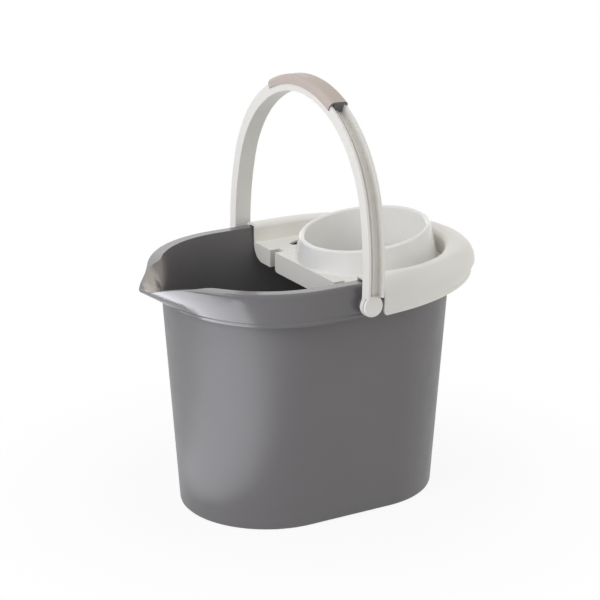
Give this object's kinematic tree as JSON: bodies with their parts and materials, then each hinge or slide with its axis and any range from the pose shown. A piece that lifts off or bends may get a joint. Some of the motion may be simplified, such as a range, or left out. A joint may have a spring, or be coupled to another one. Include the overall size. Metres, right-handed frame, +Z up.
{
  "type": "mop bucket with wringer",
  "caption": "Household mop bucket with a pouring spout, a slotted cone wringer that sits on the rear rim and an arched carrying handle.",
  "frame": {"origin": "on the floor under the middle of the object", "axes": "+X to the rear, where the wringer is, with the spout at -X; +Y across the bucket along the handle's pivot axis; +Z up"},
  "size_m": [0.3809, 0.282, 0.4478],
  "materials": {
    "bucket_plastic": "satin",
    "frame_plastic": "satin",
    "cone_plastic": "gloss",
    "handle_plastic": "satin",
    "grip_plastic": "matte"
  },
  "bodies": {
    "bucket": {"bucket": "bucket_plastic", "pivot_pin_left": "handle_plastic", "pivot_pin_right": "handle_plastic"},
    "handle": {"handle": "handle_plastic", "handle_grip": "grip_plastic"},
    "wringer": {"wringer_frame": "frame_plastic", "wringer_cone": "cone_plastic"}
  },
  "joints": [
    {"name": "handle_swing", "type": "hinge", "parent": "bucket", "child": "handle", "pos_m": [-0.004, 0, 0.242], "axis": [0, 1, 0], "range_deg": [-126, 74]},
    {"name": "wringer_lift", "type": "slide", "parent": "bucket", "child": "wringer", "axis": [0, 0, 1], "range_m": [0, 0.012]}
  ]
}
